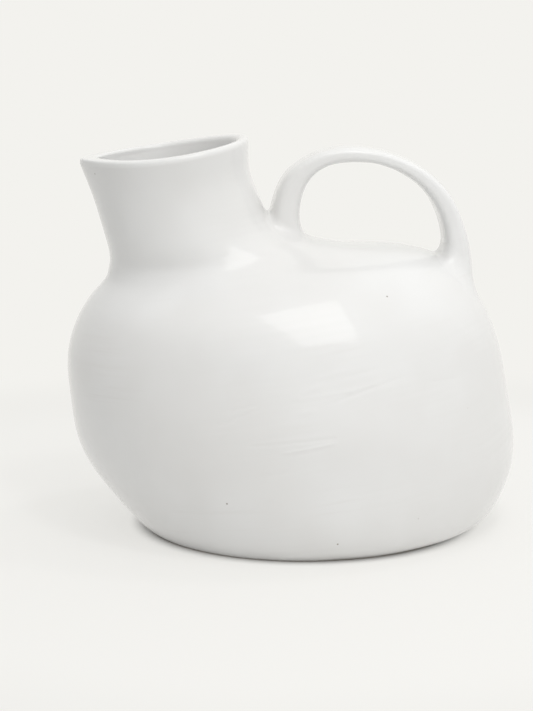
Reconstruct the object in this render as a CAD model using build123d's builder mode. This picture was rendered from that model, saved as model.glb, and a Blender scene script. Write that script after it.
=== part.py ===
"""Glazed ceramic water jug of the Spanish botijo family.

A squat, lopsided body stands on a flat foot. One wide neck with a pulled pouring lip leans to
the front (-X), and an arched strap handle runs from behind the neck to the rear shoulder (+X).
Lengths are in millimetres, +Z is up and the origin is the middle of the footprint on the floor.
"""

import os
from math import copysign, cos, pi, sin

from build123d import *

os.makedirs("parts", exist_ok=True)

# Body
body_length = 241.0
body_depth = 191.0
shoulder_height = 150.0
girth_height = 70.0
wall = 6.0
floor_thickness = 7.0
foot_ring_width = 9.0
foot_recess = 1.2

# Neck
throat_length = 88.7
throat_width = 78.0
throat_rise = 7.8
throat_tilt = 9.4
neck_seam_drop = 2.0
neck_rise = 50.2
neck_lean = 16.9
neck_waist = 5.6
neck_sway = 1.8
mouth_length = 90.6
mouth_width = 80.0
mouth_tilt = 7.1
rim_dip = 2.8
rim_rounding = 2.2
lip_wall = 10.0

# Handle
handle_gap = 6.0
handle_foot_drop = 4.0
handle_rise = 54.3
strap_width = 23.0
strap_thickness = 8.0
root_width = 38.0
root_thickness = 24.0

# Drawing steps and the overrun of the cuts
outline_points = 24
overrun = 12.0

# Rings of the body from the foot up to where the neck begins, in shares of half the body length,
# of the shoulder height and of half the body depth.
body_ring_shares = [
    # front reach, front height, rear reach, rear height, half depth
    (0.617, -0.013, 0.603, -0.013, 0.750),
    (0.715, 0.033, 0.864, 0.030, 0.885),
    (0.821, 0.133, 0.946, 0.113, 0.952),
    (0.956, 0.300, 0.998, 0.267, 1.000),
    (0.999, 0.480, 0.972, 0.447, 1.005),
    (1.004, 0.647, 0.930, 0.627, 0.948),
    (0.935, 0.797, 0.836, 0.817, 0.832),
    (0.862, 0.873, 0.628, 0.977, 0.618),
    (0.829, 0.910, 0.344, 1.005, 0.505),
    (0.817, 0.950, 0.078, 1.040, 0.430),
]

# The throat's middle stands in front of the body's, and the handle's rear leg behind it, both in
# shares of half the body length.
throat_reach_share = 0.455
handle_reach_share = 0.725

# Rings of the neck from the throat up, in shares of its rise and of its waist, with the slope by
# which two flats cut the front end to the lip's beak. The power sets how crisp the flats' edges
# are, and the tip's share how blunt the beak is.
neck_ring_shares = [
    # rise, waist, lip pinch
    (0.00, 0.00, 0.12),
    (0.25, 0.71, 0.28),
    (0.59, 1.00, 0.48),
    (1.00, 0.00, 0.70),
    (1.20, -0.32, 0.76),
]
pinch_power = 4
beak_tip_share = 0.25
rim_dip_share = 0.42

# Sections of the handle from its front root over the arch to its rear root, in shares of its span
# and rise, and of the growth from the plain strap to the full root.
front_root_shares = [
    # along, up, thickness, width
    (0.016, 0.074, 1.00, 0.87),
    (0.000, 0.313, 0.56, 0.47),
    (0.011, 0.534, 0.40, 0.27),
]
arch_shares = [
    (0.059, 0.746, 0.28, 0.13),
    (0.178, 0.930, 0.09, 0.05),
    (0.384, 1.000, 0.00, 0.00),
    (0.605, 0.936, 0.00, 0.00),
    (0.789, 0.770, 0.06, 0.02),
    (0.919, 0.516, 0.16, 0.07),
]
rear_root_shares = [
    (0.984, 0.221, 0.27, 0.20),
    (1.000, -0.074, 0.50, 0.47),
    (0.978, -0.405, 0.88, 1.00),
]
strap_fullness_share = 0.8


def ring_outline(length, width, pinch):
    """Points round a ring from its rear end: an ellipse, its front end cut by two flats to a beak."""
    angles = [2 * pi * step / outline_points for step in range(outline_points)]
    cuts = [pinch * sin(angle / 2) / (abs(cos(angle / 2)) + beak_tip_share) for angle in angles]
    flats = [(1 + cut ** pinch_power) ** (1 / pinch_power) for cut in cuts]
    sides = [sin(angle) / flat for angle, flat in zip(angles, flats)]
    return [
        (length / 2 * cos(angle), width / 2 * side / max(sides))
        for angle, side in zip(angles, sides)
    ]


def strap_outline(width, thickness):
    """Points round the strap's section: an ellipse with its sides filled out."""
    angles = [2 * pi * step / outline_points for step in range(outline_points)]
    across = [copysign(abs(cos(angle)) ** strap_fullness_share, cos(angle)) for angle in angles]
    through = [copysign(abs(sin(angle)) ** strap_fullness_share, sin(angle)) for angle in angles]
    return [(width / 2 * x, thickness / 2 * y) for x, y in zip(across, through)]


def moved_in(chain, distance):
    """The points of a chain, each moved to the right of its way, square to its neighbours' chord."""
    moved = []
    for index, point in enumerate(chain):
        before, after = chain[max(index - 1, 0)], chain[min(index + 1, len(chain) - 1)]
        way = (after - before).normalized()
        moved.append(point + Vector(way.Y, -way.X) * distance)
    return moved


def ring_chains():
    """Front, rear and half-width chains of all rings, from the foot to above the mouth."""
    throat_reach = throat_reach_share * body_length / 2
    fronts, rears, pinches, half_widths = [], [], [], []
    for front, front_height, rear, rear_height, half_depth in body_ring_shares:
        fronts.append(Vector(-front * body_length / 2, front_height * shoulder_height))
        rears.append(Vector(rear * body_length / 2, rear_height * shoulder_height))
        half_widths.append(half_depth * body_depth / 2)
        pinches.append(0)
    for rise, waist, pinch in neck_ring_shares:
        tilt = throat_tilt + (mouth_tilt - throat_tilt) * rise
        length = throat_length + (mouth_length - throat_length) * rise - neck_waist * waist
        width = throat_width + (mouth_width - throat_width) * rise - neck_waist * waist
        middle = Vector(-throat_reach - neck_sway * waist, shoulder_height + throat_rise)
        middle += Vector(0, neck_rise * rise).rotate(Axis.Z, neck_lean)
        half_chord = Vector(length / 2, 0).rotate(Axis.Z, tilt)
        fronts.append(middle - half_chord)
        rears.append(middle + half_chord)
        half_widths.append(width / 2)
        pinches.append(pinch)
    return fronts, rears, half_widths, pinches


def ring_plane(front, rear):
    """Plane of a ring that is seen edge on, from its front point to its rear point in XZ."""
    chord = rear - front
    middle = (front + rear) / 2
    return Plane(origin=(middle.X, 0, middle.Y), x_dir=(chord.X, 0, chord.Y), z_dir=(-chord.Y, 0, chord.X))


def loft_rings(fronts, rears, half_widths, pinches):
    """Solid through the rings of the given chains."""
    with BuildPart() as rings:
        for front, rear, half_width, pinch in zip(fronts, rears, half_widths, pinches):
            with BuildSketch(ring_plane(front, rear)):
                with BuildLine():
                    Spline(*ring_outline((rear - front).length, 2 * half_width, pinch), periodic=True)
                make_face()
        loft()
    return rings.part


fronts, rears, half_widths, pinches = ring_chains()
throat_front, throat_rear = fronts[len(body_ring_shares)], rears[len(body_ring_shares)]
outer_form = loft_rings(fronts, rears, half_widths, pinches)

# The inside follows the same rings, a wall's thickness in. Between its pinched sides the lip's
# wall is longer to the front than it is thick.
middle_heights = [(front.Y + rear.Y) / 2 for front, rear in zip(fronts, rears)]
side_chain = [Vector(-half_width, height) for half_width, height in zip(half_widths, middle_heights)]
inner_fronts = [
    point + Vector((lip_wall - wall) * pinch, 0) for point, pinch in zip(moved_in(fronts, wall), pinches)
]
inner_rears = moved_in(rears, -wall)
inner_half_widths = [-point.X for point in moved_in(side_chain, wall)]
inner_form = loft_rings(inner_fronts, inner_rears, inner_half_widths, pinches)

# Luting seams: the dome on the bowl at the girth, and the neck on the dome just under the throat
girth_seam = Plane.XY.offset(girth_height)
neck_seam = ring_plane(throat_front, throat_rear).offset(-neck_seam_drop)

# The fired vessel: hollow, its rim cut to a dipping line and rounded, its foot recessed inside a ring
mouth_front, mouth_rear = fronts[-2], rears[-2]
rim_chord = mouth_rear - mouth_front
rim_front = mouth_front - rim_chord.normalized() * overrun
rim_low = mouth_front + rim_chord * rim_dip_share - Vector(0, rim_dip)
rim_rear = mouth_rear + rim_chord.normalized() * overrun
with BuildPart() as hollow:
    add(inner_form)
    split(bisect_by=Plane.XY.offset(floor_thickness), keep=Keep.TOP)

with BuildPart() as vessel:
    add(outer_form)
    split(bisect_by=Plane.XY, keep=Keep.TOP)
    add(hollow.part, mode=Mode.SUBTRACT)
    with BuildSketch(Plane.XZ.offset(mouth_width)):
        with BuildLine():
            Spline(rim_front, rim_low, rim_rear)
            above = Vector(0, neck_rise)
            Polyline(rim_front, rim_front + above, rim_rear + above, rim_rear)
        make_face()
    extrude(amount=-2 * mouth_width, mode=Mode.SUBTRACT)
    fillet(faces().sort_by(Axis.Z)[-1].edges(), rim_rounding)
    foot = faces().sort_by(Axis.Z)[0].bounding_box()
    with BuildSketch(Plane(foot.center())):
        Ellipse(foot.size.X / 2 - foot_ring_width, foot.size.Y / 2 - foot_ring_width)
    extrude(amount=foot_recess, mode=Mode.SUBTRACT)

with BuildPart() as lower_body:
    add(vessel.part)
    split(bisect_by=girth_seam, keep=Keep.BOTTOM)

with BuildPart() as upper_body:
    add(vessel.part)
    split(bisect_by=girth_seam, keep=Keep.TOP)
    split(bisect_by=neck_seam, keep=Keep.BOTTOM)

with BuildPart() as neck:
    add(vessel.part)
    split(bisect_by=neck_seam, keep=Keep.TOP)

# The handle is one pulled strap from behind the neck to the rear shoulder, seated on the outer form
handle_shares = front_root_shares + arch_shares + rear_root_shares
handle_start = throat_rear.X + handle_gap
handle_span = handle_reach_share * body_length / 2 - handle_start
handle_foot_height = shoulder_height - handle_foot_drop
handle_places = [
    Vector(handle_start + along * handle_span, 0, handle_foot_height + up * handle_rise)
    for along, up, _, _ in handle_shares
]
with BuildLine(mode=Mode.PRIVATE) as arch:
    handle_line = Spline(*handle_places)
strap_planes = [
    Plane(origin=place, x_dir=(0, 1, 0), z_dir=handle_line.tangent_at(place)) for place in handle_places
]
with BuildPart() as strap:
    for plane, (_, _, thickness_growth, width_growth) in zip(strap_planes, handle_shares):
        width = strap_width + (root_width - strap_width) * width_growth
        thickness = strap_thickness + (root_thickness - strap_thickness) * thickness_growth
        with BuildSketch(plane):
            with BuildLine():
                Spline(*strap_outline(width, thickness), periodic=True)
            make_face()
    loft()
    add(outer_form, mode=Mode.SUBTRACT)

front_seam, rear_seam = strap_planes[len(front_root_shares) - 1], strap_planes[-len(rear_root_shares)]
arch_middle = Plane.YZ.offset(handle_start + handle_span / 2)
with BuildPart() as handle_front_root:
    add(strap.part)
    split(bisect_by=arch_middle, keep=Keep.BOTTOM)
    split(bisect_by=front_seam, keep=Keep.BOTTOM)

with BuildPart() as handle_rear_root:
    add(strap.part)
    split(bisect_by=arch_middle, keep=Keep.TOP)
    split(bisect_by=rear_seam, keep=Keep.TOP)

with BuildPart() as handle:
    add(strap.part)
    add(handle_front_root.part, mode=Mode.SUBTRACT)
    add(handle_rear_root.part, mode=Mode.SUBTRACT)

pieces = {
    "lower_body": lower_body,
    "upper_body": upper_body,
    "neck": neck,
    "handle": handle,
    "handle_front_root": handle_front_root,
    "handle_rear_root": handle_rear_root,
}
for name, piece in pieces.items():
    piece.part.label = name
    export_step(piece.part, f"parts/{name}.step")
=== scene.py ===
"""Looks of a glazed ceramic water jug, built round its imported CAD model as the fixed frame.

The jug is one fired piece: a thrown bowl, a dome luted on it, a neck with a pulled lip and a strap
handle on two smeared roots, all under one white glaze. Lengths are in metres, +Z is up, the lip
points to -X and the front of the picture is -Y.
"""

import bpy
import numpy as np
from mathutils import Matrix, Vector


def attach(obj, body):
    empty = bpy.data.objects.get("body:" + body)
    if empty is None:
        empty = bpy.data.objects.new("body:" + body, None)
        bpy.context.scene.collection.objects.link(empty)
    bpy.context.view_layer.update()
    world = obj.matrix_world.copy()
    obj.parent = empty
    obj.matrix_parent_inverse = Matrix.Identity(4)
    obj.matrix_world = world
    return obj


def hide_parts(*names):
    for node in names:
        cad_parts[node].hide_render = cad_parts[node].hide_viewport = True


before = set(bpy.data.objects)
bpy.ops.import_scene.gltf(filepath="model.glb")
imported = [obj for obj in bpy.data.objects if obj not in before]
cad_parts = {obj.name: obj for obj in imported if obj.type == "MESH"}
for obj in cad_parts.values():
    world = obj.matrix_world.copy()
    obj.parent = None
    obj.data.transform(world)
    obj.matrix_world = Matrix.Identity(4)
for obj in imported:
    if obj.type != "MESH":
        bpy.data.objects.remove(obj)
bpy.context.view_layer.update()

mm = 0.001


# Lower body: the bowl that was thrown first, from the foot up to the girth. It is fired clay about
# 6 mm thick, glazed inside and out, and it stands on an unglazed ring round a shallow recess.

half_length = 120.5 * mm
half_depth = 95.5 * mm
shoulder_height = 150.0 * mm
girth_height = 70.0 * mm
wall = 6.0 * mm
floor_thickness = 7.0 * mm
foot_recess = 1.2 * mm
foot_ring_width = 9.0 * mm

# Rings of the body from the foot up, as shares of the sizes above: front reach, front height, rear
# reach, rear height, half depth
body_shares = np.array([
    (0.617, -0.013, 0.603, -0.013, 0.750),
    (0.715, 0.033, 0.864, 0.030, 0.885),
    (0.821, 0.133, 0.946, 0.113, 0.952),
    (0.956, 0.300, 0.998, 0.267, 1.000),
    (0.999, 0.480, 0.972, 0.447, 1.005),
    (1.004, 0.647, 0.930, 0.627, 0.948),
    (0.935, 0.797, 0.836, 0.817, 0.832),
    (0.862, 0.873, 0.628, 0.977, 0.618),
    (0.829, 0.910, 0.344, 1.005, 0.505),
    (0.817, 0.950, 0.078, 1.040, 0.430),
])
beak_tip_share = 0.25
# Rings of the neck from the throat up to the mouth and one past it, as shares: rise, waist, pinch of
# the lip
neck_shares = np.array([
    (0.00, 0.00, 0.12),
    (0.25, 0.71, 0.28),
    (0.59, 1.00, 0.48),
    (1.00, 0.00, 0.70),
    (1.20, -0.32, 0.76),
])
# Tilts and the lean are in degrees
throat_length, throat_width, throat_tilt = 88.7 * mm, 78.0 * mm, 9.4
mouth_length, mouth_width, mouth_tilt = 90.6 * mm, 80.0 * mm, 7.1
throat_reach_share, throat_height = 0.455, 157.8 * mm
neck_rise, neck_lean, neck_waist, neck_sway = 50.2 * mm, 16.9, 5.6 * mm, 1.8 * mm
lip_wall = 10.0 * mm
columns, bowl_rows_outside, bowl_rows_inside = 288, 190, 40


def turned(vectors, degrees):
    """Vectors in the XZ plane, turned from +X towards +Z by the angle."""
    c, s = np.cos(np.radians(degrees)), np.sin(np.radians(degrees))
    x, z = vectors[..., 0], vectors[..., 1]
    return np.stack([x * c - z * s, x * s + z * c], -1)


def ring_table():
    """One row for each ring: front x and z, rear x and z, half width and pinch. A neck ring is a chord
    of its length about its middle, tilted, and its middle climbs the leaning axis of the neck."""
    reach = np.array([-half_length, shoulder_height, half_length, shoulder_height, half_depth])
    body = np.column_stack([body_shares * reach, np.zeros(len(body_shares))])
    rise, waist, pinch = neck_shares.T
    tilt = throat_tilt + (mouth_tilt - throat_tilt) * rise
    length = throat_length + (mouth_length - throat_length) * rise - neck_waist * waist
    width = throat_width + (mouth_width - throat_width) * rise - neck_waist * waist
    climb = turned(np.column_stack([0 * rise, neck_rise * rise]), neck_lean)
    throat_reach = throat_reach_share * half_length
    middle = np.column_stack([-throat_reach - neck_sway * waist, 0 * rise + throat_height]) + climb
    slope = np.radians(tilt)
    half = np.column_stack([length / 2 * np.cos(slope), length / 2 * np.sin(slope)])
    return np.vstack([body, np.column_stack([middle - half, middle + half, width / 2, pinch])])


def moved_in(chain, distance):
    """Points of a chain in a plane, each moved to the right of its way by a distance, square to the
    chord between its neighbours."""
    padded = np.vstack([chain[:1], chain, chain[-1:]])
    way = padded[2:] - padded[:-2]
    way /= np.linalg.norm(way, axis=1)[:, None]
    return chain + distance * np.column_stack([way[:, 1], -way[:, 0]])


def inner_table(rings):
    """The same rings a wall's thickness in, with more wall before the hollow in the pinched lip."""
    front = moved_in(rings[:, 0:2], wall) + np.outer(rings[:, 5], [lip_wall - wall, 0])
    rear = moved_in(rings[:, 2:4], -wall)
    side = moved_in(np.column_stack([-rings[:, 4], (rings[:, 1] + rings[:, 3]) / 2]), wall)
    return np.column_stack([front, rear, -side[:, 0], rings[:, 5]])


def natural_spline(knots, values, places):
    """Natural cubic spline through rows of values at the knots, read at an array of places. The second
    slopes at the knots solve one band of equations and are nought at both ends. Between two knots the
    curve is the straight mix of their values, plus for each knot its second slope times the cube of
    its share less that share, times the square of the step over 6."""
    steps = np.diff(knots)
    slopes = np.diff(values, axis=0) / steps[:, None]
    system = np.eye(len(knots))
    inner = np.arange(1, len(knots) - 1)
    system[inner, inner - 1] = steps[:-1]
    system[inner, inner] = 2 * (steps[:-1] + steps[1:])
    system[inner, inner + 1] = steps[1:]
    bends = np.zeros_like(values)
    bends[1:-1] = 6 * np.diff(slopes, axis=0)
    bends = np.linalg.solve(system, bends)
    cell = np.clip(np.searchsorted(knots, places, side="right") - 1, 0, len(knots) - 2)
    width = steps[cell][..., None]
    right = (places - knots[cell])[..., None] / width
    left = 1 - right
    curve = (left ** 3 - left) * bends[cell] + (right ** 3 - right) * bends[cell + 1]
    return left * values[cell] + right * values[cell + 1] + curve * width ** 2 / 6


outer_rings = ring_table()
inner_rings = inner_table(outer_rings)
# Each ring's place on the spline. The step between two rings is the root mean square of the one at the
# front and the one at the rear.
ring_steps = np.diff(outer_rings[:, :4], axis=0)
ring_knots = np.concatenate([[0], np.cumsum(np.sqrt((ring_steps ** 2).sum(1) / 2))])
throat_knot = ring_knots[len(body_shares)]


def pinched_side(angle, pinch):
    """Sideways share of a ring: an ellipse whose front end is cut by two flats that meet in a rounded
    beak. The sine of the angle is divided by (1 + cut ** 4) ** (1 / 4), where cut is
    pinch * sin(angle / 2) / (|cos(angle / 2)| + beak_tip_share)."""
    cut = pinch * np.sin(angle / 2) / (np.abs(np.cos(angle / 2)) + beak_tip_share)
    return np.sin(angle) / (1 + cut ** 4) ** 0.25


# How wide a ring comes out at each pinch, read at close angles over nearly half a turn
pinch_steps, half_turn = np.linspace(0, 1, 51), np.linspace(0, 3.1, 620)
widest_sides = pinched_side(half_turn, pinch_steps[:, None]).max(1)


def ring_point(rings, angle, along):
    """Point of a ring form: along gives the ring by its place on the spline, and the angle runs from
    the rear over +Y to the front. In the XZ plane the point lies on the chord from the front to the
    rear by the cosine of the angle, and sideways by the pinched side, which is scaled so that the ring
    reaches its half width at its widest."""
    value = natural_spline(ring_knots, rings, along)
    front, rear, half_width, pinch = value[..., 0:2], value[..., 2:4], value[..., 4], value[..., 5]
    flat = (front + rear) / 2 + (rear - front) / 2 * np.cos(angle)[..., None]
    side = pinched_side(angle, pinch) / np.interp(pinch, pinch_steps, widest_sides)
    return np.stack([flat[..., 0], half_width * side, flat[..., 1]], -1)


angle_step, along_step = 0.004, 0.4 * mm


def surface_normal(surface, angle, along):
    """Unit normal of surface(angle, along): its slope along the angle crossed with its slope along the
    other parameter, both from central differences."""
    around = surface(angle + angle_step, along) - surface(angle - angle_step, along)
    upward = surface(angle, along + along_step) - surface(angle, along - along_step)
    normal = np.cross(around, upward)
    return normal / np.linalg.norm(normal, axis=-1)[..., None]


wave_count, wave_lengths, wave_peak = 7, (0.75, 1.4), 1.4


def drift(points, size, seed):
    """Soft random field, mostly between -1 and 1: a sum of sine waves in random directions, each about
    the given size long, over the root of their number and over their usual peak."""
    draw = np.random.default_rng(seed)
    total = np.zeros(points.shape[:-1])
    for _ in range(wave_count):
        way = draw.normal(size=3)
        way *= 2 * np.pi / (size * draw.uniform(*wave_lengths) * np.linalg.norm(way))
        total += np.sin(points @ way + draw.uniform(0, 2 * np.pi))
    return total / wave_count ** 0.5 / wave_peak


# Marks that a tool or a nail drew across the front, in mm: x and z of both ends, height (a groove's is
# below nought) and half width
drag_marks = np.array([
    (-44.3, 75.8, -33.1, 80.8, -0.12, 0.9),
    (-39.3, 83.1, -28.7, 85.5, -0.10, 0.8),
    (-37.3, 79.6, -28.5, 82.9, -0.08, 0.8),
    (-29.5, 65.2, 9.8, 68.9, -0.12, 0.9),
    (-12.8, 62.2, 9.4, 66.0, 0.22, 0.8),
    (-10.9, 60.3, 4.4, 62.9, -0.08, 0.8),
    (-7.5, 89.6, 1.2, 93.6, 0.10, 1.2),
    (5.3, 99.2, 17.4, 101.6, 0.08, 1.3),
    (10.8, 86.4, 30.5, 92.5, -0.13, 0.9),
    (30.5, 92.5, 46.3, 96.2, -0.10, 0.9),
    (-5.8, 88.6, 19.2, 91.4, 0.07, 1.1),
    (19.2, 91.4, 32.7, 93.5, 0.10, 1.0),
    (19.3, 98.8, 31.9, 101.2, -0.08, 1.1),
    (65.0, 92.1, 75.7, 91.9, -0.08, 1.0),
    (-23.2, 49.9, -10.9, 52.2, -0.08, 1.0),
    (-3.0, 82.3, -1.6, 82.6, 0.16, 1.5),
]) * mm
mark_fade = 2.5


def drawn_marks(points):
    """Height of the drag marks: along each line a ridge or groove falls off sideways as a bell curve
    of its half width, and past its ends as one that is mark_fade times as wide."""
    total = np.zeros(points.shape[:-1])
    flat = points[..., [0, 2]]
    for x0, z0, x1, z1, height, half_width in drag_marks:
        way = np.array([x1 - x0, z1 - z0])
        length = np.hypot(*way)
        away = flat - [x0, z0]
        along = away @ way / length
        across = (away[..., 1] * way[0] - away[..., 0] * way[1]) / length
        past = np.maximum(np.abs(along - length / 2) - length / 2, 0)
        total += height * np.exp(-(across / half_width) ** 2 - (past / (mark_fade * half_width)) ** 2)
    return np.where(points[..., 1] < 0, total, 0)


# Heights and sizes of the wall's swells, then the grooves of the fingers: their height and spacing, how
# they climb and wander, the patches in which they are strong and how they fade
broad_swell, broad_swell_size, small_swell, small_swell_size = 0.2 * mm, 120 * mm, 0.1 * mm, 38 * mm
groove_height, groove_spacing, fine_groove_spacing, fine_groove_share = 0.03 * mm, 9.3 * mm, 4.1 * mm, 0.6
groove_slope, groove_wander, groove_wander_size, fine_groove_phase = 0.14, 1.6 * mm, 70 * mm, 1.3
groove_patch_size, groove_patch_shape = 42 * mm, (0.5, 0.5, 1.6)
groove_strength, groove_variation, groove_fade, groove_least_share = 0.45, 0.75, 70 * mm, 0.1


def throwing_relief(points):
    """Height of the hand's traces over the smooth form: swells of two sizes, the drag marks, and finger
    grooves, which are two sine waves of the height. The grooves climb to the rear, wander, are strong
    in patches and fade out to the front."""
    swell = broad_swell * drift(points, broad_swell_size, seed=3)
    swell = swell + small_swell * drift(points, small_swell_size, seed=5)
    climb = points[..., 2] - groove_slope * points[..., 0]
    climb = climb + groove_wander * drift(points, groove_wander_size, seed=7)
    patch = drift(points * groove_patch_shape, groove_patch_size, seed=11)
    strength = np.clip(groove_strength + groove_variation * patch, 0, None)
    strength = strength * np.clip(1 + points[..., 0] / groove_fade, groove_least_share, 1)
    coarse = np.sin(2 * np.pi * climb / groove_spacing)
    fine = np.sin(2 * np.pi * climb / fine_groove_spacing + fine_groove_phase)
    groove = coarse + fine_groove_share * fine
    return swell + groove_height * strength * groove + drawn_marks(points)


def outer_skin(angle, along):
    """The outer surface with the traces of throwing: the ring form, moved along its own normal."""
    def form(angle, along):
        return ring_point(outer_rings, angle, along)
    points = form(angle, along)
    return points + surface_normal(form, angle, along) * throwing_relief(points)[..., None]


def inner_skin(angle, along):
    """The inner surface, which follows the same rings a wall's thickness in."""
    return ring_point(inner_rings, angle, along)


halvings = 30


def place_where(surface, measure, angle, low, high):
    """For each angle, the place along a surface between low and high where measure(points) rises
    through nought, found by halving."""
    low, high = np.full(angle.shape, low), np.full(angle.shape, high)
    for _ in range(halvings):
        middle = (low + high) / 2
        above = measure(surface(angle, middle)) > 0
        low, high = np.where(above, low, middle), np.where(above, middle, high)
    return middle


def rows_between(surface, angle, start, end, count):
    """Grid of surface points and normals, with count rows from start to end at each angle."""
    share = np.linspace(0, 1, count)[:, None]
    along = start[None] * (1 - share) + end[None] * share
    around = np.broadcast_to(angle[None], along.shape)
    return surface(around, along), surface_normal(surface, around, along)


def shell_object(name, points, normals, wrap):
    """Mesh object of a grid of points that closes round its columns. Its last row joins its first if
    wrap is true, and otherwise each end row is drawn together to one pole."""
    rows, count = points.shape[:2]
    index = np.arange(rows * count).reshape(rows, count)
    if wrap:
        index = np.vstack([index, index[:1]])
    low, high = index[:-1], index[1:]
    quads = np.stack([low, np.roll(low, -1, 1), np.roll(high, -1, 1), high], -1).reshape(-1, 4)
    flat_points, flat_normals = points.reshape(-1, 3), normals.reshape(-1, 3)
    faces = [quads]
    if not wrap:
        poles = np.array([rows * count, rows * count + 1])
        flat_points = np.vstack([flat_points, points[0].mean(0), points[-1].mean(0)])
        flat_normals = np.vstack([flat_normals, normals[0].mean(0), normals[-1].mean(0)])
        first, last = index[0], index[-1]
        faces.append(np.stack([np.full(count, poles[0]), np.roll(first, -1), first], -1))
        faces.append(np.stack([np.full(count, poles[1]), last, np.roll(last, -1)], -1))
    mesh = bpy.data.meshes.new(name)
    mesh.from_pydata(flat_points.tolist(), [], [face for part in faces for face in part.tolist()])
    mesh.polygons.foreach_set("use_smooth", np.ones(len(mesh.polygons), bool))
    flat_normals = flat_normals / np.linalg.norm(flat_normals, axis=1)[:, None]
    mesh.normals_split_custom_set_from_vertices(flat_normals.tolist())
    mesh.update()
    shell = bpy.data.objects.new(name, mesh)
    bpy.context.scene.collection.objects.link(shell)
    return shell


turn = np.linspace(0, 2 * np.pi, columns, endpoint=False)
down, up = np.array([0, 0, -1.0]), np.array([0, 0, 1.0])
foot_edge_height, floor_edge_rise = 0.9 * mm, 2.5 * mm
# Stretches of the spline, from its first ring, that hold the foot's edge, the floor's edge and the girth
foot_stretch, floor_stretch, girth_stretch = (0, 20 * mm), (0, 40 * mm), (30 * mm, 130 * mm)

foot_place = place_where(outer_skin, lambda p: p[..., 2] - foot_edge_height, turn, *foot_stretch)
girth_outside = place_where(outer_skin, lambda p: p[..., 2] - girth_height, turn, *girth_stretch)
girth_inside = place_where(inner_skin, lambda p: p[..., 2] - girth_height, turn, *girth_stretch)
floor_place = place_where(inner_skin, lambda p: p[..., 2] - floor_thickness - floor_edge_rise,
                          turn, *floor_stretch)

bowl_outside, bowl_outside_normals = rows_between(
    outer_skin, turn, foot_place, girth_outside, bowl_rows_outside)
bowl_inside, bowl_inside_normals = rows_between(
    inner_skin, turn, girth_inside, floor_place, bowl_rows_inside)


def ring_drawn_in(ring, centre, distance, height):
    """A ring of points drawn in towards a centre by a distance and laid at a height."""
    out = ring[:, :2] - centre[:2]
    reach = np.linalg.norm(out, axis=1)[:, None]
    return np.column_stack([centre[:2] + out * (reach - distance) / reach, np.full(len(ring), height)])


def rings_inside(ring, centre, shares):
    """Rings inside a flat ring, at its height and at shares of its reach from a centre."""
    middle = centre * [1, 1, 0]
    return np.stack([middle + (ring - middle) * [share, share, 1] for share in shares])


inside_shares = np.array([0.08, 0.4, 0.75])
foot_edge = bowl_outside[0]
foot_centre = foot_edge.mean(0)
# The foot from its recess out over the ring to the glaze: how far its edge is drawn in, and the height
foot_profile = [
    (foot_ring_width + 6 * mm, foot_recess), (foot_ring_width + 1.6 * mm, foot_recess),
    (foot_ring_width + 0.4 * mm, 0.8 * mm), (foot_ring_width - 0.6 * mm, 0.15 * mm),
    (foot_ring_width - 2.0 * mm, 0), (2.2 * mm, 0), (0.9 * mm, 0.18 * mm),
]
foot_rows = np.stack([ring_drawn_in(foot_edge, foot_centre, *pair) for pair in foot_profile])
recess_rows = rings_inside(foot_rows[0], foot_centre, inside_shares)
floor_edge = bowl_inside[-1]
floor_centre = floor_edge.mean(0)
# The hollow's edge with the floor, in the same way
floor_profile = [(3.5 * mm, floor_thickness + 0.8 * mm), (8.5 * mm, floor_thickness)]
floor_rows = np.stack([ring_drawn_in(floor_edge, floor_centre, *pair) for pair in floor_profile])
floor_rows = np.concatenate([floor_rows, rings_inside(floor_rows[-1], floor_centre, inside_shares[::-1])])


least_length = 1e-12


def grid_normals(points, wrap):
    """Unit normals of a grid: the chord between a point's neighbours in its row crossed with the one in
    its column. The grid is closed round its columns, and round its rows if wrap is true."""
    around = np.roll(points, -1, 1) - np.roll(points, 1, 1)
    upward = np.roll(points, -1, 0) - np.roll(points, 1, 0) if wrap else np.gradient(points, axis=0)
    normal = np.cross(around, upward)
    return normal / np.maximum(np.linalg.norm(normal, axis=-1)[..., None], least_length)


bowl_points = np.concatenate([recess_rows, foot_rows, bowl_outside, bowl_inside, floor_rows])
bowl_normals = grid_normals(bowl_points, False)
bowl_start = len(recess_rows) + len(foot_rows)
bowl_turn = bowl_start + len(bowl_outside)
bowl_end = bowl_turn + len(bowl_inside)
bowl_normals[:len(inside_shares) - 1], bowl_normals[-len(inside_shares):] = down, up
bowl_normals[bowl_start:bowl_turn] = bowl_outside_normals
bowl_normals[bowl_turn:bowl_end] = -bowl_inside_normals
lower_body = shell_object("lower_body_shell", bowl_points, bowl_normals, False)


def new_node(tree, kind, settings=(), values=()):
    """A node of a kind in a tree, with its settings and its inputs' values given as pairs."""
    node = tree.nodes.new(kind)
    for name, value in settings:
        setattr(node, name, value)
    for name, value in values:
        node.inputs[name].default_value = value
    return node


def joined(tree, operation, first, second, third=None):
    """Output of a maths node. Each part is a number or another node's output."""
    node = new_node(tree, "ShaderNodeMath", [("operation", operation)])
    for socket, part in zip(node.inputs, (first, second, third)):
        if isinstance(part, bpy.types.NodeSocket):
            tree.links.new(part, socket)
        elif part is not None:
            socket.default_value = part
    return node.outputs[0]


seed_way, noise_roughness = (1, 0.37, 0.71), 0.55


def noise_value(tree, position, scale, size, detail, seed):
    """Noise about the given size long, read at a position that is first scaled along its axes and moved
    by the seed."""
    moved = tuple(share * seed for share in seed_way)
    spot = new_node(tree, "ShaderNodeMapping", [], [("Scale", scale), ("Location", moved)])
    noise = new_node(tree, "ShaderNodeTexNoise", [], [
        ("Scale", 1 / size), ("Detail", detail), ("Roughness", noise_roughness)])
    tree.links.new(position, spot.inputs["Vector"])
    tree.links.new(spot.outputs["Vector"], noise.inputs["Vector"])
    return noise.outputs["Fac"]


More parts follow.
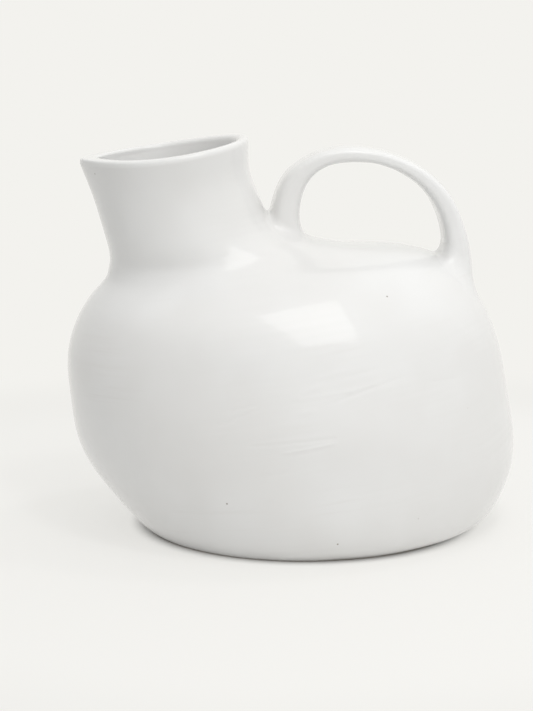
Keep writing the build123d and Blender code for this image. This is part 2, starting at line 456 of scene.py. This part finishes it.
def stepped(tree, value, low, high, start=0.0, end=1.0):
    """A value run smoothly from start to end while it climbs from low to high."""
    ramp = new_node(tree, "ShaderNodeMapRange", [("interpolation_type", "SMOOTHSTEP")], [
        ("From Min", low), ("From Max", high), ("To Min", start), ("To Max", end)])
    tree.links.new(value, ramp.inputs["Value"])
    return ramp.outputs["Result"]


def blended(tree, share, first, second):
    """Colour between two, by a share. Each part is a colour or another node's output."""
    mix = new_node(tree, "ShaderNodeMix", [("data_type", "RGBA")])
    # A Mix node has one factor and two parts for each kind of data, and these are the colour's
    for socket, part in zip((mix.inputs[0], mix.inputs[6], mix.inputs[7]), (share, first, second)):
        if isinstance(part, bpy.types.NodeSocket):
            tree.links.new(part, socket)
        else:
            socket.default_value = part
    return mix.outputs[2]


# Traces in the glaze: sizes of the clouds, the streaks and the patches that hold them, the pores of the
# skin and the cells that may hold a speck, and heights of the relief in mm. A shape says how much closer
# a noise lies along each axis, a band is where a trace sets in and is whole, and a speck's edge is given
# as shares of its cell.
even, streak_shape, streak_patch_shape = (1, 1, 1), (0.05, 0.05, 1), (0.7, 0.7, 1.3)
cloud_size, streak_size, streak_patch_size = 90 * mm, 3.2 * mm, 46 * mm
cloud_band, streak_band, streak_patch_band = (0.35, 0.65), (0.52, 0.72), (0.47, 0.66)
pore_size, speck_cell = 1.3 * mm, 7 * mm
streak_slope, streak_relief, pore_relief, speck_relief = np.radians(8), 0.018, 0.006, -0.05
speck_rarity, speck_edge = 0.975, (0.045, 0.085)


def traces_group():
    """Node group of the glaze's own unevenness. Position goes in. A cloudy mask of thick and thin glaze,
    a mask of drag streaks that climb to the rear, a mask of rare specks and the small relief in mm
    come out. The relief is the sum of the streaks, the pores and the specks, times their heights."""
    tree = bpy.data.node_groups.new("glaze_traces", "ShaderNodeTree")
    tree.interface.new_socket("Position", in_out="INPUT", socket_type="NodeSocketVector")
    for name in ("Cloud", "Streak", "Speck", "Relief"):
        tree.interface.new_socket(name, in_out="OUTPUT", socket_type="NodeSocketFloat")
    entry, leave = tree.nodes.new("NodeGroupInput"), tree.nodes.new("NodeGroupOutput")
    position = entry.outputs["Position"]
    lean = new_node(tree, "ShaderNodeVectorRotate", [("rotation_type", "Y_AXIS")], [("Angle", streak_slope)])
    tree.links.new(position, lean.inputs["Vector"])
    leaning = lean.outputs["Vector"]
    cloud = noise_value(tree, position, even, cloud_size, detail=3, seed=2.3)
    fine = noise_value(tree, leaning, streak_shape, streak_size, detail=3, seed=5.1)
    patch = noise_value(tree, position, streak_patch_shape, streak_patch_size, detail=1, seed=8.7)
    patch = stepped(tree, patch, *streak_patch_band)
    streak = joined(tree, "MULTIPLY", stepped(tree, fine, *streak_band), patch)
    pore = noise_value(tree, position, even, pore_size, detail=2, seed=1.9)
    cells = new_node(tree, "ShaderNodeTexVoronoi", [("feature", "F1")], [
        ("Scale", 1 / speck_cell), ("Randomness", 1.0)])
    tree.links.new(position, cells.inputs["Vector"])
    cell_draw = new_node(tree, "ShaderNodeSeparateColor")
    tree.links.new(cells.outputs["Color"], cell_draw.inputs[0])
    rare = joined(tree, "GREATER_THAN", cell_draw.outputs[0], speck_rarity)
    near = stepped(tree, cells.outputs["Distance"], *speck_edge, start=1.0, end=0.0)
    speck = joined(tree, "MULTIPLY", near, rare)
    relief = joined(tree, "MULTIPLY", fine, joined(tree, "MULTIPLY", patch, streak_relief))
    relief = joined(tree, "MULTIPLY_ADD", pore, pore_relief, relief)
    relief = joined(tree, "MULTIPLY_ADD", speck, speck_relief, relief)
    tree.links.new(cloud, leave.inputs["Cloud"])
    tree.links.new(streak, leave.inputs["Streak"])
    tree.links.new(speck, leave.inputs["Speck"])
    tree.links.new(relief, leave.inputs["Relief"])
    return tree


thick_glaze, thin_glaze = (0.80, 0.80, 0.79, 1), (0.765, 0.76, 0.745, 1)
dragged_glaze, speck_colour = (0.77, 0.765, 0.75, 1), (0.30, 0.27, 0.23, 1)
bare_clay = (0.52, 0.45, 0.36, 1)
glaze_roughness, clay_roughness, coat_roughness = 0.3, 0.85, 0.05
bare_height, glazed_height = 0.2 * mm, 0.6 * mm
glaze = bpy.data.materials.new("white_glaze")
glaze.use_nodes = True
tree = glaze.node_tree
shader = tree.nodes["Principled BSDF"]
place = new_node(tree, "ShaderNodeTexCoord")
traces = new_node(tree, "ShaderNodeGroup")
traces.node_tree = traces_group()
tree.links.new(place.outputs["Object"], traces.inputs["Position"])
cloud = stepped(tree, traces.outputs["Cloud"], *cloud_band)
colour = blended(tree, cloud, thin_glaze, thick_glaze)
colour = blended(tree, traces.outputs["Streak"], colour, dragged_glaze)
colour = blended(tree, traces.outputs["Speck"], colour, speck_colour)
place_parts = new_node(tree, "ShaderNodeSeparateXYZ")
tree.links.new(place.outputs["Object"], place_parts.inputs[0])
bare = stepped(tree, place_parts.outputs["Z"], bare_height, glazed_height, start=1.0, end=0.0)
tree.links.new(blended(tree, bare, colour, bare_clay), shader.inputs["Base Color"])
roughness = stepped(tree, bare, 0, 1, start=glaze_roughness, end=clay_roughness)
tree.links.new(roughness, shader.inputs["Roughness"])
tree.links.new(stepped(tree, bare, 0, 1, start=1.0, end=0.0), shader.inputs["Coat Weight"])
shader.inputs["Coat Roughness"].default_value = coat_roughness
bump = new_node(tree, "ShaderNodeBump", [], [("Strength", 1.0), ("Distance", mm)])
tree.links.new(traces.outputs["Relief"], bump.inputs["Height"])
tree.links.new(bump.outputs["Normal"], shader.inputs["Normal"])
lower_body.data.materials.append(glaze)
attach(lower_body, "root")
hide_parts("lower_body")


# Upper body: the shoulder dome, thrown apart and luted on the bowl at the girth. It narrows to the
# neck in front and slopes down to the handle's rear root behind.

neck_seam_drop = 2.0 * mm
dome_rows_outside, dome_rows_inside = 220, 50
seam_place = np.full(columns, throat_knot - neck_seam_drop)
dome_outside, dome_outside_normals = rows_between(
    outer_skin, turn, girth_outside, seam_place, dome_rows_outside)
dome_inside, dome_inside_normals = rows_between(
    inner_skin, turn, seam_place, girth_inside, dome_rows_inside)
upper_body = shell_object("upper_body_shell", np.concatenate([dome_outside, dome_inside]),
                          np.concatenate([dome_outside_normals, -dome_inside_normals]), True)
upper_body.data.materials.append(glaze)
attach(upper_body, "root")
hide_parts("upper_body")


# Neck: a wide collar that leans to the front, drawn out by hand into a pouring lip. Its rim dips at
# the sides and is rounded over the whole thickness of the wall.

rim_dip, rim_dip_share, rim_overrun = 2.8 * mm, 0.42, 12.0 * mm
rim_depth, lip_length = 3.1 * mm, 42.0 * mm
rim_power, lip_power = 0.85, 0.35
neck_rows_outside, neck_rows_inside, rim_row_count = 80, 60, 14
mouth_front, mouth_rear = outer_rings[-2, 0:2], outer_rings[-2, 2:4]
mouth_way = (mouth_rear - mouth_front) / np.linalg.norm(mouth_rear - mouth_front)
rim_chain = np.array([mouth_front - mouth_way * rim_overrun,
                      mouth_front + (mouth_rear - mouth_front) * rim_dip_share - [0, rim_dip],
                      mouth_rear + mouth_way * rim_overrun])


def above_rim(points):
    """Height of points over the dipping line that the rim follows from the lip to the rear."""
    return points[..., 2] - natural_spline(rim_chain[:, 0], rim_chain[:, 1:], points[..., 0])[..., 0]


# The stretch of the spline that holds the rim
rim_stretch = (throat_knot + 10 * mm, ring_knots[-1])
rim_outside = place_where(outer_skin, lambda p: above_rim(p) + rim_depth, turn, *rim_stretch)
rim_inside = place_where(inner_skin, lambda p: above_rim(p) + rim_depth, turn, *rim_stretch)
neck_outside, neck_outside_normals = rows_between(
    outer_skin, turn, seam_place, rim_outside, neck_rows_outside)
neck_inside, neck_inside_normals = rows_between(
    inner_skin, turn, rim_inside, seam_place, neck_rows_inside)


def rim_rows(outside, inside, height, count):
    """Rows over the rim from its outer to its inner edge: half a superellipse on the wall's thickness.
    Its power makes it nearly a half circle, and squarer along the lip."""
    sweep = np.linspace(0, np.pi, count + 2)[1:-1, None, None]
    along_lip = np.clip(1 - (outside[:, :1] - outside[:, 0].min()) / lip_length, 0, 1)
    power = rim_power - (rim_power - lip_power) * along_lip
    across = np.sign(np.cos(sweep)) * np.abs(np.cos(sweep)) ** power
    middle, half = (outside + inside) / 2, (outside - inside) / 2
    return middle + half * across + up * height * np.abs(np.sin(sweep)) ** power


neck_rim = rim_rows(neck_outside[-1], neck_inside[0], rim_depth, rim_row_count)
neck_points = np.concatenate([neck_outside, neck_rim, neck_inside])
neck_normals = grid_normals(neck_points, True)
neck_normals[:neck_rows_outside - 1] = neck_outside_normals[:-1]
neck_normals[1 - neck_rows_inside:] = -neck_inside_normals[1:]
neck = shell_object("neck_shell", neck_points, neck_normals, True)
neck.data.materials.append(glaze)
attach(neck, "root")
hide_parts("neck")


# Handle: one strap of clay, pulled by hand to an oval band that is thinnest over the arch and
# thickens to both ends. The fingers that bent it left shallow dents behind the neck.

strap_width, strap_thickness = 23.0 * mm, 8.0 * mm
root_width, root_thickness = 38.0 * mm, 24.0 * mm
# The strap starts a gap behind the throat and reaches a share of the half length to the rear
strap_gap, strap_reach_share = 6.0 * mm, 0.725
handle_start = outer_rings[len(body_shares), 2] + strap_gap
handle_span = strap_reach_share * half_length - handle_start
handle_foot_height, handle_rise = 146.0 * mm, 54.3 * mm
strap_power = 0.62
# Sections from the front root over the arch to the rear root, as shares: along, up, and how far the
# thickness and the width grow to the root's
handle_shares = np.array([
    (0.016, 0.074, 1.00, 0.87),
    (0.000, 0.313, 0.56, 0.47),
    (0.011, 0.534, 0.40, 0.27),
    (0.059, 0.746, 0.28, 0.13),
    (0.178, 0.930, 0.09, 0.05),
    (0.384, 1.000, 0.00, 0.00),
    (0.605, 0.936, 0.00, 0.00),
    (0.789, 0.770, 0.06, 0.02),
    (0.919, 0.516, 0.16, 0.07),
    (0.984, 0.221, 0.27, 0.20),
    (1.000, -0.074, 0.50, 0.47),
    (0.978, -0.405, 0.88, 1.00),
])
front_seam, rear_seam = 2, 9
strap_columns, strap_rows = 72, 150
strap_swell, strap_swell_size = 0.22 * mm, 30 * mm
pull_height, pull_size, pull_shape = 0.08 * mm, 14 * mm, (1, 3, 1)
# Finger dents: x and z of each in mm, and their depth, reach along the strap and half width
finger_dents = np.array([(3.5, 194.5), (7.4, 200.5), (15.7, 204.8)]) * mm
dent_depth, dent_reach, dent_half_width = 0.8 * mm, 4.5 * mm, 9 * mm

strap_values = np.column_stack([
    handle_start + handle_shares[:, 0] * handle_span,
    handle_foot_height + handle_shares[:, 1] * handle_rise,
    strap_thickness + (root_thickness - strap_thickness) * handle_shares[:, 2],
    strap_width + (root_width - strap_width) * handle_shares[:, 3],
])
strap_steps = np.linalg.norm(np.diff(strap_values[:, :2], axis=0), axis=1)
strap_knots = np.concatenate([[0], np.cumsum(strap_steps)])
strap_step = 0.2 * mm


def strap_form(angle, along):
    """Point of the strap: a superellipse, fuller at its sides than an ellipse, square to the middle line
    at the place along it. The angle runs from +Y over the outer side of the arch."""
    value = natural_spline(strap_knots, strap_values, along)
    ahead = natural_spline(strap_knots, strap_values, along + strap_step)[..., :2]
    behind = natural_spline(strap_knots, strap_values, along - strap_step)[..., :2]
    way = (ahead - behind) / np.linalg.norm(ahead - behind, axis=-1)[..., None]
    across = np.sign(np.cos(angle)) * np.abs(np.cos(angle)) ** strap_power * value[..., 3] / 2
    through = np.sign(np.sin(angle)) * np.abs(np.sin(angle)) ** strap_power * value[..., 2] / 2
    x, z = value[..., 0] - way[..., 1] * through, value[..., 1] + way[..., 0] * through
    return np.stack([x, across, z], -1)


def strap_skin(angle, along):
    """The strap with the unevenness of pulling and the finger dents on the outer side of its front: it is
    moved along its normal by two drifts, less a bell curve of the distance for each dent."""
    points = strap_form(angle, along)
    relief = strap_swell * drift(points, strap_swell_size, seed=21)
    relief = relief + pull_height * drift(points * pull_shape, pull_size, seed=23)
    for x, z in finger_dents:
        away = ((points[..., 0] - x) ** 2 + (points[..., 2] - z) ** 2) / dent_reach ** 2
        relief = relief - dent_depth * np.exp(-away) * np.exp(-(points[..., 1] / dent_half_width) ** 2)
    return points + surface_normal(strap_form, angle, along) * relief[..., None]


# A quarter of a step on, so that no column falls where the superellipse's slope is endless
strap_turn = np.linspace(0, 2 * np.pi, strap_columns, endpoint=False) + 0.5 * np.pi / strap_columns
strap_start = np.full(strap_columns, strap_knots[front_seam])
strap_end = np.full(strap_columns, strap_knots[rear_seam])
strap_points, strap_normals = rows_between(strap_skin, strap_turn, strap_start, strap_end, strap_rows)
handle = shell_object("handle_strap", strap_points, strap_normals, False)
handle.data.materials.append(glaze)
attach(handle, "root")
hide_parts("handle")


# Front root: the wad of soft clay that fixes the strap behind the neck. It is smeared down with the
# thumb, so that it runs out into the shoulder and closes the foot of the notch before it.

patch_count, root_places, stem_rows, fillet_rows = 190, 48, 26, 20
skirt_overrun, skirt_depth, corner_depth = 2.5 * mm, 0.9 * mm, 2.5 * mm


def body_patch(half_angle, low_place, high_place):
    """Dense patch of the body's outer skin round a root: its points and normals, as flat lists."""
    around = np.linspace(-half_angle, half_angle, patch_count)
    low, high = np.full(patch_count, low_place), np.full(patch_count, high_place)
    points, normals = rows_between(outer_skin, around, low, high, patch_count)
    return points.reshape(-1, 3), normals.reshape(-1, 3)


split_count = 12  # so that the table of distances stays small


def laid_on(points, patch):
    """Points set down square on the nearest part of a patch, with its normals there and the heights that
    they had over it. The nearest point of the patch has the least square less twice the dot product."""
    flat = points.reshape(-1, 3)
    square = (patch[0] ** 2).sum(1)
    near = np.concatenate([
        (square - 2 * part @ patch[0].T).argmin(1) for part in np.array_split(flat, split_count)])
    normals = patch[1][near]
    heights = ((flat - patch[0][near]) * normals).sum(1)
    laid = flat - normals * heights[:, None]
    return laid.reshape(points.shape), normals.reshape(points.shape), heights.reshape(points.shape[:-1])


def root_object(name, patch, seam, end, rise, reach):
    """A root from its seam with the strap to the body. Each line down the strap is followed to where it
    enters the body. From a rise above that point a parabola turns the surface outwards to a reach away
    on the body. Two last rings go under the skin and back in below the strap, so that what closes the
    shell is out of sight."""
    places = np.linspace(seam, end, root_places)
    around, along = np.meshgrid(strap_turn, places)
    heights = laid_on(strap_skin(around, along), patch)[2]
    inside = np.argmax(heights < 0, axis=0)
    column = np.arange(strap_columns)
    above, below = heights[inside - 1, column], heights[inside, column]
    entry = places[inside - 1] + (places[inside] - places[inside - 1]) * above / (above - below)
    corner, corner_normals, _ = laid_on(strap_skin(strap_turn, entry), patch)
    out = corner - corner.mean(0)
    out -= corner_normals * (out * corner_normals).sum(1)[:, None]
    out /= np.linalg.norm(out, axis=1)[:, None]
    landing, landing_normals, _ = laid_on(corner + out * reach[:, None], patch)
    buried, buried_normals, _ = laid_on(corner + out * (reach[:, None] + skirt_overrun), patch)
    leaving = entry + np.sign(seam - end) * rise
    stem, stem_normals = rows_between(
        strap_skin, strap_turn, np.full(strap_columns, seam), leaving, stem_rows)
    sweep = np.linspace(0, 1, fillet_rows)[1:, None, None]
    fillet = (1 - sweep) ** 2 * stem[-1] + 2 * sweep * (1 - sweep) * corner + sweep ** 2 * landing
    hidden = np.stack([buried - buried_normals * skirt_depth, corner - corner_normals * corner_depth])
    points = np.concatenate([stem, fillet, hidden])
    normals = grid_normals(points, False) * np.sign(end - seam)
    normals[:stem_rows - 1] = stem_normals[:-1]
    # The landing takes the body's own normals, so that the skirt shades into the skin
    normals[-3:] = landing_normals, landing_normals, -corner_normals
    if seam > end:
        points, normals = points[::-1], normals[::-1]
    return shell_object(name, points, normals, False)


# How far up the strap the root starts to widen, and how far its skirt reaches out: all round, and how
# much more at the strap's two sides. Each line is followed up to the sink past the strap's last section.
front_rise_all, front_reach_all, front_reach_side = 6 * mm, 6.5 * mm, 1.5 * mm
root_sink = 8 * mm
side_share = np.abs(np.cos(strap_turn))
front_patch = body_patch(half_angle=1.3, low_place=throat_knot - 75 * mm, high_place=throat_knot + 30 * mm)
front_rise = np.full(strap_columns, front_rise_all)
front_reach = front_reach_all + front_reach_side * side_share
front_root = root_object("front_root", front_patch, strap_knots[front_seam], strap_knots[0] - root_sink,
                         front_rise, front_reach)
front_root.data.materials.append(glaze)
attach(front_root, "root")
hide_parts("handle_front_root")


# Rear root: the strap's lower end, pressed on the rear shoulder and smeared wide to the sides and
# downwards, so that its outer face runs on into the body's outline.

# The same for the rear, and how much more its skirt reaches downwards
rear_rise_all, rear_rise_side = 9 * mm, 3 * mm
rear_reach_all, rear_reach_side, rear_reach_down = 8.5 * mm, 4 * mm, 3.5 * mm
rear_patch = body_patch(half_angle=0.75, low_place=throat_knot - 150 * mm, high_place=throat_knot - 5 * mm)
rear_rise = rear_rise_all + rear_rise_side * side_share
rear_reach = rear_reach_all + rear_reach_side * side_share + rear_reach_down * np.sin(strap_turn)
rear_root = root_object("rear_root", rear_patch, strap_knots[rear_seam], strap_knots[-1] + root_sink,
                        rear_rise, rear_reach)
rear_root.data.materials.append(glaze)
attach(rear_root, "root")
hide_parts("handle_rear_root")


# Floor, light and camera: a flat pale floor in a white room, with soft lamps above and round the jug.
# The floor is partly matt round the foot, where it takes the shadow, and right at the foot's edge its glow
# is held back, a painted contact shade over that real shadow. Far out it shows the backdrop's plain colour.
# The camera looks from the photograph's angle.

backdrop_colour = (0.896, 0.888, 0.855, 1)
near_floor, far_floor = (0.72, 0.715, 0.70, 1), (0.40, 0.40, 0.39, 1)
floor_size, room_strength = 12.0, 0.655
# Share of the backdrop's glow in the floor next to the foot, and how much brighter than the backdrop the
# glow gets as its share falls to nought, which makes up for the darker matt part
near_glow, glow_lift = 0.65, 0.26
# Where the glow sets in and where it takes over, as distances from the foot's middle over its reach. The
# first band, with no glow at the foot's edge, is painted contact shade
contact_shade_band, far_band = (0.98, 1.11), (3.0, 5.0)


def background_ray(tree):
    """Output that is 1 on rays that look at the background, by the camera, a mirror or glass."""
    path = new_node(tree, "ShaderNodeLightPath")
    seen = joined(tree, "MAXIMUM", path.outputs["Is Camera Ray"], path.outputs["Is Glossy Ray"])
    return joined(tree, "MAXIMUM", seen, path.outputs["Is Transmission Ray"])


def put_out(tree, share, first, second, kind):
    """Two shaders, mixed by a share, on an output node of a kind."""
    mix, output = new_node(tree, "ShaderNodeMixShader"), new_node(tree, kind)
    for source, socket in zip((share, first.outputs[0], second.outputs[0]), mix.inputs):
        tree.links.new(source, socket)
    tree.links.new(mix.outputs[0], output.inputs["Surface"])


floor_corners = np.array([(-1, -1, 0), (1, -1, 0), (1, 1, 0), (-1, 1, 0)]) * floor_size / 2
floor_mesh = bpy.data.meshes.new("floor")
floor_mesh.from_pydata(floor_corners.tolist(), [], [(0, 1, 2, 3)])
floor = bpy.data.objects.new("floor", floor_mesh)
bpy.context.scene.collection.objects.link(floor)
floor_material = bpy.data.materials.new("pale_floor")
floor_material.use_nodes = True
tree = floor_material.node_tree
tree.nodes.clear()
foot_reach = (foot_edge.max(0) - foot_edge.min(0)) / 2
place = new_node(tree, "ShaderNodeTexCoord")
foot_frame = new_node(tree, "ShaderNodeMapping", [("vector_type", "TEXTURE")], [
    ("Location", (*foot_centre[:2], 0)), ("Scale", (*foot_reach[:2], 1))])
away = new_node(tree, "ShaderNodeVectorMath", [("operation", "LENGTH")])
tree.links.new(place.outputs["Object"], foot_frame.inputs["Vector"])
tree.links.new(foot_frame.outputs[0], away.inputs[0])
far = stepped(tree, away.outputs["Value"], *far_band)
# Painted contact shade: round the foot's edge the glow is held back, and the matt floor there also takes the
# real shadow
near = stepped(tree, away.outputs["Value"], *contact_shade_band, end=near_glow)
share = joined(tree, "MULTIPLY_ADD", far, 1 - near_glow, near)
glow = new_node(tree, "ShaderNodeEmission", [], [("Color", backdrop_colour)])
tree.links.new(joined(tree, "MULTIPLY_ADD", share, -glow_lift, 1 + glow_lift), glow.inputs["Strength"])
matt = new_node(tree, "ShaderNodeBsdfDiffuse")
tree.links.new(blended(tree, far, near_floor, far_floor), matt.inputs["Color"])
glow_share = joined(tree, "MULTIPLY", share, background_ray(tree))
put_out(tree, glow_share, matt, glow, "ShaderNodeOutputMaterial")
floor_mesh.materials.append(floor_material)

world = bpy.data.worlds.new("studio")
bpy.context.scene.world = world
world.use_nodes = True
tree = world.node_tree
tree.nodes.clear()
room = new_node(tree, "ShaderNodeBackground", [], [("Color", (1, 1, 1, 1)), ("Strength", room_strength)])
backdrop = new_node(tree, "ShaderNodeBackground", [], [("Color", backdrop_colour)])
put_out(tree, background_ray(tree), room, backdrop, "ShaderNodeOutputWorld")

lamp_target = np.array([0, 0, 100 * mm])
# Way to each lamp from the target, its distance in metres, width and height, power in watts, and whether
# the glaze mirrors it
lamps = {
    "key": ((0.18, -0.45, 0.87), 1.2, (0.48, 0.95), 1.7, True),
    "sun": ((0.15, -0.43, 0.89), 1.2, (0.14, 0.14), 1.7, False),
    "high": ((0.35, 0.1, 0.93), 1.2, (0.14, 0.14), 1.2, False),
    "top": ((0.1, 0.1, 1.0), 1.3, (1.2, 1.2), 1.2, False),
    "front": ((0.35, -0.95, 0.25), 1.6, (1.2, 1.2), 6.2, False),
    "back": ((0.2, 0.75, 0.65), 1.4, (1.2, 0.9), 1.6, False),
    "right_back": ((0.85, 0.45, 0.35), 1.4, (0.9, 0.9), 1.0, False),
    "right_top": ((0.7, -0.2, 0.7), 1.3, (0.9, 0.9), 0.5, False),
}


def looking_back(thing, target, way, distance):
    """Put a lamp or camera at a distance from a target along a way, so that it faces the target."""
    thing.location = target + way * distance
    thing.rotation_euler = Vector(way).to_track_quat("Z", "Y").to_euler()
    bpy.context.scene.collection.objects.link(thing)


for name, (way, distance, size, power, mirrored) in lamps.items():
    lamp = bpy.data.lights.new(name, "AREA")
    lamp.shape = "RECTANGLE"
    lamp.size, lamp.size_y = size
    lamp.energy = power
    holder = bpy.data.objects.new(name, lamp)
    holder.visible_glossy = mirrored
    looking_back(holder, lamp_target, np.array(way) / np.linalg.norm(way), distance)

# In an upright picture the sensor's width spans the picture's height
photo_height, focal_length_pixels, sensor_width = 711, 2037, 36
azimuth, elevation, camera_distance = np.radians(-5), np.radians(12), 1.1
camera_target = np.array([-14.6, 0, 91.5]) * mm
lens = bpy.data.cameras.new("camera")
lens.sensor_fit = "AUTO"
lens.sensor_width = sensor_width
lens.lens = focal_length_pixels / photo_height * sensor_width
lens.clip_start, lens.clip_end = 0.01, 50
camera = bpy.data.objects.new("camera", lens)
back = np.array([np.sin(azimuth) * np.cos(elevation), -np.cos(azimuth) * np.cos(elevation),
                 np.sin(elevation)])
looking_back(camera, camera_target, back, camera_distance)
bpy.context.scene.camera = camera
bpy.context.scene.view_settings.view_transform = "Standard"

bpy.context.view_layer.update()
